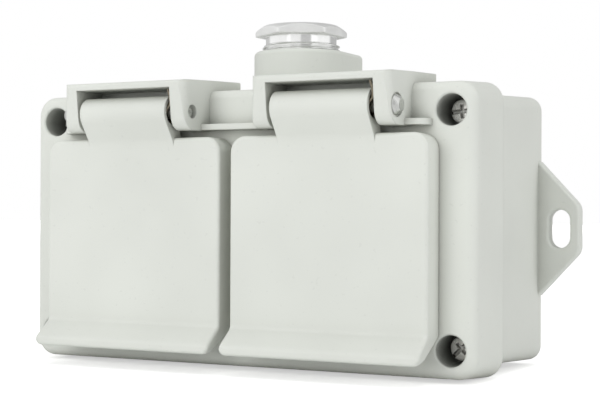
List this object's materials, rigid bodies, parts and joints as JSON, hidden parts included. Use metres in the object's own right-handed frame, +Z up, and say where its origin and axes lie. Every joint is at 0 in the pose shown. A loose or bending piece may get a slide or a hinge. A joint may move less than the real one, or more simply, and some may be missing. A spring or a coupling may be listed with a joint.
{
  "type": "outdoor socket outlet",
  "caption": "Weatherproof metal wall socket box with spring lids over side-earth sockets, hooded hinges, a flared finger lip on each lid, end lugs and a hexagon cable gland on top.",
  "frame": {"origin": "middle of the back plane that lies against the wall, at half the cover's width and height", "axes": "+X to the right seen from the front, +Y into the wall, +Z up; the lids face -Y"},
  "size_m": [0.1744, 0.078, 0.1079],
  "materials": {
    "housing_paint": "satin powder coat, light grey",
    "gland_metal": "turned, bright",
    "steel": "zinc plated",
    "spring_steel": "drawn wire",
    "brass": "plain",
    "rubber": "matt black",
    "washer_rubber": "matt dark",
    "cup_plastic": "moulded, satin black",
    "base_plastic": "moulded, matt cream",
    "disc_plastic": "thin sheet"
  },
  "bodies": {
    "housing": {"front_cover": "housing_paint", "back_box": "housing_paint", "cover_gasket": "rubber", "cover_screws": "steel", "cover_screw_washers": "washer_rubber", "gland_screw": "gland_metal", "gland_washer": "steel", "gland_disc": "disc_plastic", "gland_seal": "rubber", "earth_terminal_screw": "brass", "earth_clamp": "brass", "left_hinge_pin": "steel", "left_lid_spring": "spring_steel", "left_socket_cup": "cup_plastic", "left_contact_base": "base_plastic", "left_live_contact": "brass", "left_neutral_contact": "brass", "left_earth_strap": "brass", "left_terminal_screws": "steel", "left_centre_screw": "steel", "left_socket_screws": "steel", "right_hinge_pin": "steel", "right_lid_spring": "spring_steel", "right_socket_cup": "cup_plastic", "right_contact_base": "base_plastic", "right_live_contact": "brass", "right_neutral_contact": "brass", "right_earth_strap": "brass", "right_terminal_screws": "steel", "right_centre_screw": "steel", "right_socket_screws": "steel"},
    "left_lid": {"left_lid": "housing_paint", "left_lid_seal": "rubber"},
    "right_lid": {"right_lid": "housing_paint", "right_lid_seal": "rubber"}
  },
  "joints": [
    {"name": "left_lid_hinge", "type": "hinge", "parent": "housing", "child": "left_lid", "pos_m": [-0.033, -0.0718, 0.0346], "axis": [-1, 0, 0], "range_deg": [0, 130], "stiffness_Nm_per_rad": 0.03, "springref_deg": -60.16},
    {"name": "right_lid_hinge", "type": "hinge", "parent": "housing", "child": "right_lid", "pos_m": [0.033, -0.0718, 0.0346], "axis": [-1, 0, 0], "range_deg": [0, 130], "stiffness_Nm_per_rad": 0.03, "springref_deg": -60.16}
  ]
}
